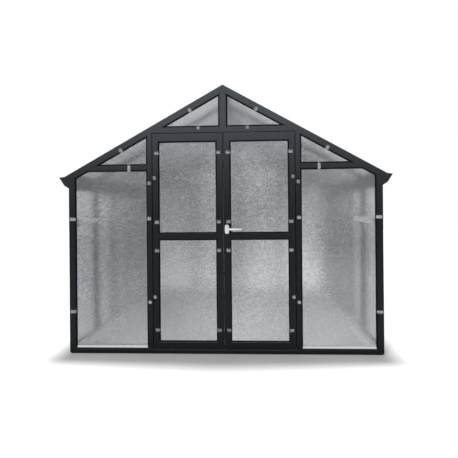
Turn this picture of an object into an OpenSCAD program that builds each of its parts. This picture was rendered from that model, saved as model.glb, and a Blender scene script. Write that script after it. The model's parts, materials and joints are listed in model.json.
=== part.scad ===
// Gable-roofed greenhouse: coated aluminium bars, embossed sheets set in grooves, twin hinged doors.
// X runs across the front, Y from the front gable to the rear one, Z up. The origin is on the
// ground, in the middle of the plan. All sizes are in millimetres.

/* [Overall] */
// Width across the outer faces of the corner posts
frame_width = 2680; // [2300:20:3400]
// Length between the outer faces of the two gables
frame_length = 3180; // [2000:20:4500]
// Height of the ridge line above the ground
ridge_height = 2295; // [2150:5:2900]
// Slope of the roof in degrees
roof_pitch = 29.2; // [26:0.1:32]
// Number of sheets along each side wall and each roof slope
side_bays = 5; // [3:1:7]

/* [Bars] */
// Depth of every wall and roof bar, from its outer face inwards
bar_depth = 44; // [36:1:60]
// Face of the corner posts
corner_face = 52; // [44:1:70]
// Face of the posts beside the doors
door_post_face = 39; // [30:1:50]
// Face of the rafters, square to the slope
rafter_face = 53; // [42:1:65]
// Face of the king post above the doors
king_face = 54; // [40:1:70]
// Face of the bars in the side walls
wall_bar_face = 40; // [30:1:50]
// Face of the bars in the roof
roof_bar_face = 36; // [28:1:48]
// Face of the rail above each side sheet of a gable
tie_face = 38; // [30:1:50]
// Height of the underside of that rail
tie_height = 1577; // [1560:1:1600]
// Face of the beam over the doors
header_face = 49; // [40:1:55]
// Height of the sills that carry the sheets
sill_height = 48; // [42:1:70]
// Height of the threshold bar under the doors
threshold_height = 33; // [20:1:38]
// Radius of the rounded foot of each corner post
foot_radius = 22; // [5:1:40]

/* [Sheets] */
// Thickness of the embossed sheets
sheet_thickness = 4; // [3:0.5:6]
// Distance from a bar's outer face to the outer face of a sheet
sheet_setback = 14; // [10:0.5:18]
// Length of sheet that sits in a groove
sheet_bite = 8; // [5:0.5:10]
// Free space beyond a sheet's edge in its groove
groove_end_gap = 1; // [0.5:0.1:2]
// Free space on each face of a sheet in its groove
groove_side_gap = 0.3; // [0.1:0.1:0.8]
// Length of roof sheet that runs past the side wall, over the gutter
roof_overhang = 38; // [20:1:45]

/* [Gutter] */
// Reach of the gutter's lip from the side wall
gutter_reach = 83; // [70:1:110]
// Width of the gutter's sloping floor
gutter_floor = 39; // [30:1:50]
// Wall of the gutter
gutter_wall = 2.5; // [1.5:0.5:3.5]
// Turned-in edge at the gutter's lip
gutter_hem = 12; // [6:1:16]
// Thickness of the plates that close the gutter's ends
end_cap = 3; // [2:0.5:5]

/* [Doors] */
// Width of one door leaf
leaf_width = 604; // [540:1:640]
// Height of one door leaf
leaf_height = 1845; // [1700:5:1845]
// Depth of a door leaf
leaf_depth = 36; // [30:1:42]
// Gap between a leaf and the bars around it
leaf_gap = 5; // [5:0.5:8]
// Gap between the two leaves
meeting_gap = 8; // [7:0.5:14]
// Face of the stile on the hinge side
hinge_stile = 47; // [40:1:60]
// Face of the stile where the leaves meet
meeting_stile = 49; // [42:1:60]
// Face of the top rail
top_rail = 63; // [50:1:80]
// Face of the middle rail
middle_rail = 44; // [36:1:60]
// Height of the middle rail's centre above the ground
middle_rail_height = 1004; // [850:1:1100]
// Face of the bottom rail
bottom_rail = 61; // [50:1:100]

/* [Hinges] */
// Height of the lower hinge's middle
lower_hinge = 463; // [300:1:600]
// Height of the upper hinge's middle
upper_hinge = 1483; // [1300:1:1600]
// Height of one half of a hinge
hinge_half = 44; // [30:1:60]
// Radius of the hinge knuckles
knuckle_radius = 7; // [6:0.5:9]
// Radius of the hinge pins
pin_radius = 4; // [3:0.5:5]
// Thickness of the hinge plates
hinge_plate = 3; // [2:0.5:4]

/* [Handle] */
// Height of the lever's pivot above the ground
handle_height = 1062; // [1050:1:1100]
// Length of the lever from its pivot to its tip
lever_length = 127; // [100:1:140]
// Height of the lever's grip
lever_height = 17; // [12:1:20]
// Thickness of the lever's grip
lever_thickness = 12; // [8:1:16]
// Distance from the leaf's face to the far face of the grip
lever_reach = 46; // [40:1:60]
// Radius of the lever's neck
neck_radius = 9; // [7:0.5:11]
// Radius of the spindle through the stile
spindle_radius = 5; // [4:0.5:6]
// Width of the backplate
plate_width = 36; // [28:1:42]
// Height of the backplate
plate_height = 79; // [60:1:120]
// Thickness of the backplate
plate_thickness = 8; // [5:1:10]

/* [Base frame] */
// Height of the metal angle inside the sills
angle_height = 66; // [55:1:100]
// Width of the angle's flange on the ground
angle_flange = 40; // [30:1:60]
// Thickness of the angle
angle_wall = 3; // [2:0.5:5]
// Radius of the anchor holes in the angle
anchor_radius = 4.5; // [3:0.5:6]
// Distance of the anchor holes from the outer face of each gable
anchor_inset = 300; // [150:10:600]

/* [Brackets] */
// Height of the top of the inner brackets above the ground
bracket_top = 1160; // [900:1:1300]
// Reach of the inner brackets from the outer face of the side wall
bracket_reach = 240; // [150:5:300]
// Height of a bracket at the post
bracket_root = 78; // [50:1:100]
// Height of a bracket at its tip
bracket_tip = 27; // [15:1:40]
// Width of the flange along a bracket's top
bracket_flange = 24; // [10:1:40]
// Free space between a bracket and the side sheet beside it
bracket_clearance = 4; // [2:1:8]

/* [Hidden] */
$fn = 48;

// Coat of the bars, bare metal, sheets and handle
coat = [0.16, 0.18, 0.19];
bare_metal = [0.72, 0.73, 0.74];
sheet_tint = [0.72, 0.75, 0.76, 0.6];
handle_metal = [0.85, 0.86, 0.87];

half_width = frame_width / 2;
half_length = frame_length / 2;
corner_inner = half_width - corner_face;
wall_inner = half_width - bar_depth;
groove_depth = sheet_bite + groove_end_gap;
sheet_back = sheet_setback + sheet_thickness;
mitre_gap = 0.1; // space at the slanted joints between bars
over = 5; // length by which a cut runs past the piece it cuts

// Door opening, in front of which the leaves hang
opening_half = meeting_gap / 2 + leaf_width + leaf_gap;
post_outer = opening_half + door_post_face;
leaf_bottom = threshold_height + leaf_gap;
leaf_top = leaf_bottom + leaf_height;
header_bottom = leaf_top + leaf_gap;
header_top = header_bottom + header_face;
tie_top = tie_height + tie_face;
king_half = king_face / 2;

// Heights on the roof slope. A drop is a depth below the roof surface, square to the slope.
function slope_z(x, drop) = ridge_height - x * tan(roof_pitch) - drop / cos(roof_pitch);
function slope_x(z, drop) = (ridge_height - drop / cos(roof_pitch) - z) / tan(roof_pitch);
// Point on the right slope, at a distance down it from the ridge and a depth below its surface
function slope_point(along, depth) = [
    along * cos(roof_pitch) - depth * sin(roof_pitch),
    ridge_height - along * sin(roof_pitch) - depth * cos(roof_pitch)
];

under_rafter = rafter_face + mitre_gap; // depth of the ends of the bars that meet a rafter
under_sheet = sheet_back + 1.6; // depth of the surface that carries the roof sheets' lower ends
eave_z = slope_z(half_width, 0);
eave_bottom = eave_z - 121.5;
ridge_reach = 46; // half of the ridge beam, measured down the slope
slope_end = (half_width + roof_overhang) / cos(roof_pitch);

// Bays along the side walls
clear_length = frame_length - 2 * bar_depth;
bay_clear = (clear_length - (side_bays - 1) * wall_bar_face) / side_bays;
function bay_start(i) = -half_length + bar_depth + i * (bay_clear + wall_bar_face);
function bar_centre(i) = bay_start(i) - wall_bar_face / 2;

// Hinge axis, in front of the gap between leaf and post
hinge_x = opening_half - leaf_gap / 2;
knuckle_gap = 1; // space between a knuckle and the faces behind it
hinge_out = knuckle_radius + knuckle_gap;
running_gap = 0.05; // radial play of a pin in its bore
hinge_split = 0.6; // vertical gap between the halves of a hinge
hinge_plate_width = 30;
handle_x = meeting_gap / 2 + meeting_stile / 2;

// ---------------------------------------------------------------- helpers

// Prism with its outline in the XZ plane, between two Y values
module xz_prism(outline, y0, y1) {
    translate([0, y1, 0]) rotate([90, 0, 0]) linear_extrude(y1 - y0) polygon(outline);
}

// Box from its lowest corner to its highest
module block(low, high) {
    translate(low) cube(high - low);
}

// Copies what is on the right, at positive X, to the left as well
module both_sides() {
    children();
    mirror([1, 0, 0]) children();
}

// Puts a gable that is drawn with its outer face at Y 0 at the front or the rear
module at_front() {
    translate([0, -half_length, 0]) children();
}
module at_rear() {
    translate([0, half_length, 0]) mirror([0, 1, 0]) children();
}

// Open strip of even thickness along a path, laid on the path's left
function unit(v) = v / norm(v);
function left_of(a, b) = let (d = unit(b - a)) [-d[1], d[0]];
function strip_offset(path, i, t) =
    let (
        last = len(path) - 1,
        n1 = left_of(path[max(i - 1, 0)], path[max(i, 1)]),
        n2 = left_of(path[min(i, last - 1)], path[min(i + 1, last)])
    )
    path[i] + t * (n1 + n2) / (1 + n1 * n2);
function strip(path, t) = concat(
    path,
    [for (i = [len(path) - 1 : -1 : 0]) strip_offset(path, i, t)]
);

// ---------------------------------------------------------------- sheet outlines
// Each outline covers the clear opening between the bars plus a bite on every side.

function side_outline(bite) =
    let (
        x0 = post_outer - bite, x1 = corner_inner + bite,
        z0 = sill_height - bite, z1 = tie_height + bite,
        drop = rafter_face - bite
    )
    [[x0, z0], [x1, z0], [x1, slope_z(x1, drop)], [slope_x(z1, drop), z1], [x0, z1]];
function triangle_outline(x_edge, z_edge, bite) =
    let (x0 = x_edge - bite, z0 = z_edge - bite, drop = rafter_face - bite)
    [[x0, z0], [slope_x(z0, drop), z0], [x0, slope_z(x0, drop)]];
function outer_triangle(bite) = triangle_outline(post_outer, tie_top, bite);
function inner_triangle(bite) = triangle_outline(king_half, header_top, bite);
function rear_middle_outline(bite) =
    let (
        x0 = king_half - bite, x1 = opening_half + bite,
        z0 = sill_height - bite, z1 = header_bottom + bite
    )
    [[x0, z0], [x1, z0], [x1, z1], [x0, z1]];
function gable_outlines(bite) = [side_outline(bite), outer_triangle(bite), inner_triangle(bite)];

// Grooves that the sheets of a gable leave in the bars around them
module gable_grooves(rear = false) {
    outlines = concat(
        gable_outlines(groove_depth),
        rear ? [rear_middle_outline(groove_depth)] : []
    );
    both_sides()
        for (outline = outlines)
            xz_prism(outline, sheet_setback - groove_side_gap, sheet_back + groove_side_gap);
}
module grooved(rear = false) {
    difference() {
        children();
        gable_grooves(rear);
    }
}

// Slab of roof sheet on the right slope, in bay i, with its bite into the bars beside it
module roof_slab(i, bite, spare) {
    y0 = i == 0 ? -half_length + bar_depth : bar_centre(i) + roof_bar_face / 2;
    y1 = i == side_bays - 1 ? half_length - bar_depth : bar_centre(i + 1) - roof_bar_face / 2;
    top = ridge_reach - bite;
    bottom = slope_end + (spare > 0 ? over : 0);
    xz_prism(
        [
            slope_point(top, sheet_setback - spare), slope_point(bottom, sheet_setback - spare),
            slope_point(bottom, sheet_back + spare), slope_point(top, sheet_back + spare)
        ],
        y0 - bite, y1 + bite
    );
}
module roof_grooves() {
    for (i = [0 : side_bays - 1]) roof_slab(i, groove_depth, groove_side_gap);
}

// Slab of wall sheet on the right wall, in bay i
module wall_slab(i, bite, spare) {
    y0 = bay_start(i);
    block(
        [half_width - sheet_back - spare, y0 - bite, sill_height - bite],
        [half_width - sheet_setback + spare, y0 + bay_clear + bite, eave_bottom + bite]
    );
}
module wall_grooves() {
    for (i = [0 : side_bays - 1]) wall_slab(i, groove_depth, groove_side_gap);
}

// ---------------------------------------------------------------- sills and base frame

module front_sill() {
    color(coat) at_front()
        block([-corner_inner, 0, 0], [corner_inner, bar_depth, threshold_height]);
}
module front_sheet_sills() {
    color(coat) at_front() grooved() both_sides()
        block([post_outer, 0, threshold_height], [corner_inner, bar_depth, sill_height]);
}
module rear_sill() {
    color(coat) at_rear() grooved(true)
        block([-corner_inner, 0, 0], [corner_inner, bar_depth, sill_height]);
}
module side_sills() {
    color(coat) both_sides() difference() {
        block(
            [wall_inner, -half_length + bar_depth, 0],
            [half_width, half_length - bar_depth, sill_height]
        );
        wall_grooves();
    }
}

// Angle section along X, standing behind a gable's sill, between two X values
module gable_angle(x0, x1) {
    inner = wall_inner - angle_flange; // where the side angles' flanges end
    y0 = bar_depth;
    block([x0, y0, 0], [x1, y0 + angle_wall, angle_height]);
    block([x0, y0, 0], [min(x1, inner), y0 + angle_flange, angle_wall]);
}
module gable_base_angles() {
    end = wall_inner - angle_wall;
    color(bare_metal) both_sides() {
        at_front() gable_angle(post_outer, end);
        at_rear() gable_angle(0, end);
    }
}
module side_base_angles() {
    y = half_length - bar_depth;
    flange_y = y - angle_wall;
    anchor_x = wall_inner - angle_flange / 2;
    color(bare_metal) both_sides() difference() {
        union() {
            block([wall_inner - angle_wall, -y, 0], [wall_inner, y, angle_height]);
            block([wall_inner - angle_flange, -flange_y, 0], [wall_inner, flange_y, angle_wall]);
        }
        for (side = [-1, 1])
            translate([anchor_x, side * (half_length - anchor_inset), -over])
                cylinder(r = anchor_radius, h = angle_wall + 2 * over);
    }
}

// ---------------------------------------------------------------- gable bars

// Upright on the right, cut off along the underside of the rafter
module upright(x0, x1, z0) {
    xz_prism(
        [
            [x0, z0], [x1, z0],
            [x1, slope_z(x1, under_rafter)], [x0, slope_z(x0, under_rafter)]
        ],
        0, bar_depth
    );
}

module corner_post() {
    difference() {
        upright(corner_inner, half_width, 0);
        // rounded foot
        translate([half_width - foot_radius, bar_depth + over, foot_radius]) rotate([90, 0, 0])
            linear_extrude(bar_depth + 2 * over) difference() {
                translate([0, -foot_radius - over]) square(foot_radius + over);
                circle(r = foot_radius);
            }
    }
}
module corner_posts() {
    color(coat) both_sides() difference() {
        union() {
            at_front() grooved() corner_post();
            at_rear() grooved(true) corner_post();
        }
        wall_grooves();
    }
}
module door_posts() {
    color(coat) both_sides() at_front() grooved()
        upright(opening_half, post_outer, threshold_height);
}

// Rafter on the right, with a tail under the roof sheets' overhang
module rafter() {
    xz_prism(
        [
            [0, ridge_height], slope_point(slope_end, 0), slope_point(slope_end, under_sheet),
            [half_width, slope_z(half_width, under_sheet)],
            [half_width, slope_z(half_width, rafter_face)], [0, slope_z(0, rafter_face)]
        ],
        0, bar_depth
    );
}
module front_rafter_right() {
    color(coat) difference() {
        at_front() grooved() rafter();
        roof_grooves();
    }
}
module front_rafter_left() {
    mirror([1, 0, 0]) front_rafter_right();
}
module rear_rafter_right() {
    color(coat) difference() {
        at_rear() grooved(true) rafter();
        roof_grooves();
    }
}
module rear_rafter_left() {
    mirror([1, 0, 0]) rear_rafter_right();
}

// Outline of a level rail from x0 to x1, cut off along the underside of the rafter
function rail_outline(x0, x1, z0, z1) = [
    [x0, z0], [min(x1, slope_x(z0, under_rafter)), z0],
    if (slope_x(z0, under_rafter) > x1) [x1, slope_z(x1, under_rafter)],
    [slope_x(z1, under_rafter), z1], [x0, z1]
];

module front_header() {
    color(coat) at_front() grooved() both_sides()
        xz_prism(rail_outline(0, opening_half, header_bottom, header_top), 0, bar_depth);
}
module ties() {
    both_sides()
        xz_prism(rail_outline(post_outer, corner_inner, tie_height, tie_top), 0, bar_depth);
}
module front_ties() {
    color(coat) at_front() grooved() ties();
}
module front_king_post() {
    color(coat) at_front() grooved() king_post(header_top);
}
module king_post(z0) {
    xz_prism(
        [
            [-king_half, z0], [king_half, z0], [king_half, slope_z(king_half, under_rafter)],
            [0, slope_z(0, under_rafter)], [-king_half, slope_z(king_half, under_rafter)]
        ],
        0, bar_depth
    );
}
module rear_uprights() {
    color(coat) at_rear() grooved(true) {
        both_sides() upright(opening_half, post_outer, sill_height);
        king_post(sill_height);
    }
}
module rear_rails() {
    color(coat) at_rear() grooved(true) {
        ties();
        both_sides()
            xz_prism(rail_outline(king_half, opening_half, header_bottom, header_top), 0, bar_depth);
    }
}

// ---------------------------------------------------------------- roof and side walls

module ridge_beam() {
    corner = slope_point(ridge_reach, 0);
    foot = slope_point(ridge_reach, rafter_face);
    color(coat) difference() {
        xz_prism(
            [[0, ridge_height], corner, foot, [-foot[0], foot[1]], [-corner[0], corner[1]]],
            -half_length + bar_depth, half_length - bar_depth
        );
        both_sides() roof_grooves();
    }
}
module eave_beams() {
    color(coat) both_sides() difference() {
        xz_prism(
            [
                [wall_inner, eave_bottom], [half_width, eave_bottom],
                [half_width, slope_z(half_width, under_sheet + mitre_gap)],
                [wall_inner, slope_z(wall_inner, under_sheet + mitre_gap)]
            ],
            -half_length + bar_depth, half_length - bar_depth
        );
        wall_grooves();
    }
}

// Gutter on the right: wall side, floor, sloping outer side and turned-in lip
gutter_lip = [half_width + gutter_reach, eave_z - 27.5];
gutter_bend = [half_width + gutter_floor, eave_z - 96.5];
gutter_path = [
    [half_width, slope_z(half_width + gutter_wall, under_sheet) - 2],
    [half_width, eave_bottom], gutter_bend, gutter_lip,
    gutter_lip + [-gutter_hem, 2]
];
module gutters() {
    color(coat) both_sides()
        xz_prism(strip(gutter_path, gutter_wall), -half_length + end_cap, half_length - end_cap);
}
module end_cap_plate() {
    xz_prism(
        [
            [half_width, eave_bottom], gutter_bend, gutter_lip,
            slope_point(slope_end, 0), slope_point(slope_end, under_sheet),
            [half_width, slope_z(half_width, under_sheet)]
        ],
        0, end_cap
    );
}
module gutter_end_caps() {
    color(coat) both_sides() {
        at_front() end_cap_plate();
        at_rear() end_cap_plate();
    }
}

module right_wall_bars() {
    color(coat) difference() {
        for (i = [1 : side_bays - 1])
            block(
                [wall_inner, bar_centre(i) - wall_bar_face / 2, sill_height],
                [half_width, bar_centre(i) + wall_bar_face / 2, eave_bottom]
            );
        wall_grooves();
    }
}
module left_wall_bars() {
    mirror([1, 0, 0]) right_wall_bars();
}

// Roof bar with a thin tail that runs over the eave beam to the gutter
module roof_bar(i) {
    top = ridge_reach + mitre_gap;
    xz_prism(
        [
            slope_point(top, 0), slope_point(slope_end, 0),
            slope_point(slope_end, under_sheet), [wall_inner, slope_z(wall_inner, under_sheet)],
            [wall_inner, slope_z(wall_inner, bar_depth)], slope_point(top, bar_depth)
        ],
        bar_centre(i) - roof_bar_face / 2, bar_centre(i) + roof_bar_face / 2
    );
}
module right_roof_bars() {
    color(coat) difference() {
        for (i = [1 : side_bays - 1]) roof_bar(i);
        roof_grooves();
    }
}
module left_roof_bars() {
    mirror([1, 0, 0]) right_roof_bars();
}

// ---------------------------------------------------------------- sheets

module front_side_sheets() {
    color(sheet_tint) at_front() both_sides()
        xz_prism(side_outline(sheet_bite), sheet_setback, sheet_back);
}
module gable_triangles() {
    both_sides() {
        xz_prism(outer_triangle(sheet_bite), sheet_setback, sheet_back);
        xz_prism(inner_triangle(sheet_bite), sheet_setback, sheet_back);
    }
}
module front_gable_sheets() {
    color(sheet_tint) at_front() gable_triangles();
}
module rear_sheets() {
    color(sheet_tint) at_rear() both_sides() {
        xz_prism(side_outline(sheet_bite), sheet_setback, sheet_back);
        xz_prism(rear_middle_outline(sheet_bite), sheet_setback, sheet_back);
    }
}
module rear_gable_sheets() {
    color(sheet_tint) at_rear() gable_triangles();
}
module right_wall_sheets() {
    color(sheet_tint) for (i = [0 : side_bays - 1]) wall_slab(i, sheet_bite, 0);
}
module left_wall_sheets() {
    mirror([1, 0, 0]) right_wall_sheets();
}
module right_roof_sheets() {
    color(sheet_tint) for (i = [0 : side_bays - 1]) roof_slab(i, sheet_bite, 0);
}
module left_roof_sheets() {
    mirror([1, 0, 0]) right_roof_sheets();
}

// ---------------------------------------------------------------- inner brackets

// Tapered plate with a flange along its top, fixed to the back of a front corner post
module inner_brackets() {
    x1 = half_width - sheet_back - bracket_clearance;
    x0 = half_width - bracket_reach;
    color(bare_metal) at_front() both_sides() {
        xz_prism(
            [
                [x0, bracket_top], [x0, bracket_top - bracket_tip],
                [x1, bracket_top - bracket_root], [x1, bracket_top]
            ],
            bar_depth, bar_depth + angle_wall
        );
        block(
            [x0, bar_depth, bracket_top - angle_wall],
            [x1, bar_depth + bracket_flange, bracket_top]
        );
    }
}

// ---------------------------------------------------------------- doors
// A leaf is drawn for the right-hand opening and mirrored for the left one.

leaf_x0 = meeting_gap / 2;
leaf_x1 = leaf_x0 + leaf_width;
clear_x0 = leaf_x0 + meeting_stile;
clear_x1 = leaf_x1 - hinge_stile;
rail_levels = [
    [leaf_bottom, leaf_bottom + bottom_rail],
    [middle_rail_height - middle_rail / 2, middle_rail_height + middle_rail / 2],
    [leaf_top - top_rail, leaf_top]
];

// Sheet between rail i and the one above it
module leaf_slab(i, bite, spare) {
    block(
        [clear_x0 - bite, sheet_setback - spare, rail_levels[i][1] - bite],
        [clear_x1 + bite, sheet_back + spare, rail_levels[i + 1][0] + bite]
    );
}
module leaf_grooves() {
    for (i = [0, 1]) leaf_slab(i, groove_depth, groove_side_gap);
}
module leaf_stiles(drilled) {
    color(coat) at_front() difference() {
        union() {
            block([leaf_x0, 0, leaf_bottom], [clear_x0, leaf_depth, leaf_top]);
            block([clear_x1, 0, leaf_bottom], [leaf_x1, leaf_depth, leaf_top]);
        }
        leaf_grooves();
        if (drilled)
            translate([handle_x, leaf_depth + over, handle_height]) rotate([90, 0, 0])
                cylinder(r = spindle_radius + 1, h = leaf_depth + 2 * over);
    }
}
module leaf_rails() {
    color(coat) at_front() difference() {
        for (level = rail_levels)
            block([clear_x0, 0, level[0]], [clear_x1, leaf_depth, level[1]]);
        leaf_grooves();
    }
}
module leaf_sheets() {
    color(sheet_tint) at_front() for (i = [0, 1]) leaf_slab(i, sheet_bite, 0);
}

module right_door_stiles() {
    leaf_stiles(true);
}
module right_door_rails() {
    leaf_rails();
}
module right_door_sheets() {
    leaf_sheets();
}
module right_door_hinges() {
    color(coat) at_front() door_hinge_halves();
}
module left_door_stiles() {
    mirror([1, 0, 0]) leaf_stiles(false);
}
module left_door_rails() {
    mirror([1, 0, 0]) leaf_rails();
}
module left_door_sheets() {
    mirror([1, 0, 0]) leaf_sheets();
}
module left_door_hinges() {
    mirror([1, 0, 0]) right_door_hinges();
}

// ---------------------------------------------------------------- hinges
// Lift-off hinges: the lower half and its pin are on the post, the upper half is on the leaf.

// Knuckle and plate, with the plate towards +X or -X
module hinge_half_body(direction) {
    cylinder(r = knuckle_radius, h = hinge_half);
    x0 = min(0, direction * (leaf_gap / 2 + hinge_plate_width));
    x1 = max(0, direction * (leaf_gap / 2 + hinge_plate_width));
    block([x0, hinge_out - hinge_plate, 0], [x1, hinge_out, hinge_half]);
    // web from the knuckle to the plate
    block(
        [min(0, direction * knuckle_radius), 0, 0],
        [max(0, direction * knuckle_radius), hinge_out, hinge_half]
    );
}
module frame_hinge_halves() {
    color(coat) both_sides() at_front()
        for (z = [lower_hinge, upper_hinge])
            translate([hinge_x, -hinge_out, z - hinge_split / 2 - hinge_half]) {
                hinge_half_body(1);
                cylinder(r = pin_radius, h = 2 * hinge_half + hinge_split);
            }
}
module door_hinge_halves() {
    for (z = [lower_hinge, upper_hinge])
        translate([hinge_x, -hinge_out, z + hinge_split / 2]) difference() {
            hinge_half_body(-1);
            translate([0, 0, -over]) cylinder(r = pin_radius + running_gap, h = hinge_half + 2 * over);
        }
}

// ---------------------------------------------------------------- handle

// Cylinder along Y about the lever's pivot, between two Y values
module pivot_cylinder(radius, y0, y1) {
    translate([handle_x, y1, handle_height]) rotate([90, 0, 0]) cylinder(r = radius, h = y1 - y0);
}
module backplate(y0, y1) {
    round_radius = plate_width / 2;
    rise = plate_height / 2 - round_radius;
    difference() {
        union() {
            for (end = [-1, 1])
                translate([handle_x, y1, handle_height + end * rise]) rotate([90, 0, 0])
                    cylinder(r = round_radius, h = y1 - y0);
            block(
                [handle_x - round_radius, y0, handle_height - rise],
                [handle_x + round_radius, y1, handle_height + rise]
            );
        }
        pivot_cylinder(neck_radius + running_gap, y0 - over, y1 + over);
    }
}
module handle_plates() {
    color(handle_metal) at_front() {
        backplate(-plate_thickness, 0);
        backplate(leaf_depth, leaf_depth + plate_thickness);
    }
}

// Neck, half of the spindle and grip of the outer lever, drawn with the leaf's face at Y 0
module lever_half() {
    neck_end = 0.3; // space between the neck's root and the stile
    pivot_cylinder(neck_radius, -lever_reach, -neck_end);
    pivot_cylinder(spindle_radius, -neck_end, leaf_depth / 2 + neck_end);
    tip_radius = lever_height / 2;
    tip_x = handle_x + lever_length - tip_radius;
    block(
        [handle_x, -lever_reach, handle_height - tip_radius],
        [tip_x, -lever_reach + lever_thickness, handle_height + tip_radius]
    );
    translate([tip_x, -lever_reach + lever_thickness, handle_height]) rotate([90, 0, 0])
        cylinder(r = tip_radius, h = lever_thickness);
}
module door_lever() {
    color(handle_metal) at_front() {
        lever_half();
        translate([0, leaf_depth, 0]) mirror([0, 1, 0]) lever_half();
    }
}

// ---------------------------------------------------------------- nodes

front_sill();
front_sheet_sills();
rear_sill();
side_sills();
gable_base_angles();
side_base_angles();
corner_posts();
door_posts();
front_rafter_left();
front_rafter_right();
front_header();
front_ties();
front_king_post();
rear_rafter_left();
rear_rafter_right();
rear_uprights();
rear_rails();
ridge_beam();
eave_beams();
gutters();
gutter_end_caps();
left_wall_bars();
right_wall_bars();
left_roof_bars();
right_roof_bars();
front_side_sheets();
front_gable_sheets();
rear_sheets();
rear_gable_sheets();
left_wall_sheets();
right_wall_sheets();
left_roof_sheets();
right_roof_sheets();
inner_brackets();
frame_hinge_halves();
left_door_stiles();
left_door_rails();
left_door_sheets();
left_door_hinges();
right_door_stiles();
right_door_rails();
right_door_sheets();
right_door_hinges();
handle_plates();
door_lever();
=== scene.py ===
"""Garden greenhouse: the looks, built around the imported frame.

Coated bars get soft edges, the sheets get their embossed finish, and glazing seals, spring clips,
hinge nuts and the rubber round the doors are added as pieces of their own. Lengths are in metres.
"""

import json
import logging
import math
from collections.abc import Callable, Iterable, Sequence
from dataclasses import dataclass, field
from enum import Enum
from functools import cached_property

import bmesh
import bpy
from mathutils import Matrix, Vector


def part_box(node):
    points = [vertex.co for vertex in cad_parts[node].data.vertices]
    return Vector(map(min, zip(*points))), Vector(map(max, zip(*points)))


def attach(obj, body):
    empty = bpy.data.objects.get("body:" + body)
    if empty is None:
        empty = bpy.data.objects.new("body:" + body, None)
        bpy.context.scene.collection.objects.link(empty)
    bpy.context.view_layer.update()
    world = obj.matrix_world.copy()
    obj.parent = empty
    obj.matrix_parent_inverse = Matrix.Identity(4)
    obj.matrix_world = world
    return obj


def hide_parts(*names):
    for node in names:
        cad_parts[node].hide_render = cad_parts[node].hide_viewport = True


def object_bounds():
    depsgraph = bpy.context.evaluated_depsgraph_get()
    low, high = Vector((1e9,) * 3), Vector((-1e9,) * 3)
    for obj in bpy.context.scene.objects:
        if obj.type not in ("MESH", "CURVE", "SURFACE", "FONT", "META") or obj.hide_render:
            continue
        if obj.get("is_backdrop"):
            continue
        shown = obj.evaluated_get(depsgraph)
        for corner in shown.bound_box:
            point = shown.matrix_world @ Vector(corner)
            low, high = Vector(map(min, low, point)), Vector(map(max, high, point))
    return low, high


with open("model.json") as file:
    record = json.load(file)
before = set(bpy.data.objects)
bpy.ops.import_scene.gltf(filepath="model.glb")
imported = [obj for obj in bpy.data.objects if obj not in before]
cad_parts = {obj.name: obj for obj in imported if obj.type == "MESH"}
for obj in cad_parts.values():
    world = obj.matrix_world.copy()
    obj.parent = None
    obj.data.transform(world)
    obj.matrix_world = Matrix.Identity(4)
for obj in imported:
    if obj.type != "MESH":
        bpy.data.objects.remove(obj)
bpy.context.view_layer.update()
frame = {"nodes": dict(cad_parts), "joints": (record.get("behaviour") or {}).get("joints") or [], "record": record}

MM = 0.001
CAD_MERGE = 0.02 * MM
CAD_FLAT = math.radians(0.6)
MESH_MERGE = 1e-6
NEARLY_ZERO = 1e-6
NOISE_MIDDLE = 0.5
SEAT_AXES = ("across", "outward")

logging.basicConfig(level=logging.INFO, format="%(name)s: %(message)s")
log = logging.getLogger("greenhouse")


class Slot(Enum):
    """Material slots of the record that a new piece takes its finish from."""

    COAT = "coated_frame"
    SHEET = "sheet"
    BARE = "bare_metal"
    HANDLE = "handle"
    SEAL = "seal"
    STEEL = "spring_steel"


class Body(Enum):
    """Rigid bodies of the frame."""

    ROOT = "root"
    LEFT_DOOR = "left_door"
    RIGHT_DOOR = "right_door"
    LEVER = "lever"


class Lie(Enum):
    """How an edge of an opening lies."""

    UPRIGHT = "upright"
    SLOPING = "sloping"
    LEVEL = "level"


Colour = tuple[float, float, float]
Paints = dict[Slot, bpy.types.Material]


# ---- node trees


class Signal:
    """A node's output socket that takes part in arithmetic."""

    def __init__(self, tree: "NodeTree", socket: bpy.types.NodeSocket) -> None:
        """Wraps a socket.

        Args:
            tree: The tree that the socket belongs to.
            socket: The output socket of a number.
        """
        self.tree = tree
        self.socket = socket

    def _math(self, operation: str, *values: "Signal | float") -> "Signal":
        """Adds a Math node on the given values."""
        node = self.tree.node("ShaderNodeMath", {"operation": operation}, dict(enumerate(values)))
        return Signal(self.tree, node.outputs[0])

    def __add__(self, other: "Signal | float") -> "Signal":
        """Sum."""
        return self._math("ADD", self, other)

    def __sub__(self, other: "Signal | float") -> "Signal":
        """Difference."""
        return self._math("SUBTRACT", self, other)

    def __rsub__(self, other: "Signal | float") -> "Signal":
        """Difference from a number."""
        return self._math("SUBTRACT", other, self)

    def __mul__(self, other: "Signal | float") -> "Signal":
        """Product."""
        return self._math("MULTIPLY", self, other)

    def __truediv__(self, other: "Signal | float") -> "Signal":
        """Quotient."""
        return self._math("DIVIDE", self, other)

    def __rtruediv__(self, other: "Signal | float") -> "Signal":
        """Quotient of a number."""
        return self._math("DIVIDE", other, self)

    __radd__ = __add__
    __rmul__ = __mul__

    def clamped(self) -> "Signal":
        """The value, kept between 0 and 1."""
        return self._math("MINIMUM", self._math("MAXIMUM", self, 0.0), 1.0)

    def cosine(self) -> "Signal":
        """The cosine of the value in radians."""
        return self._math("COSINE", self)

    def below(self, limit: float) -> "Signal":
        """1 where the value is under a limit, and 0 elsewhere."""
        return self._math("LESS_THAN", self, limit)


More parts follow.
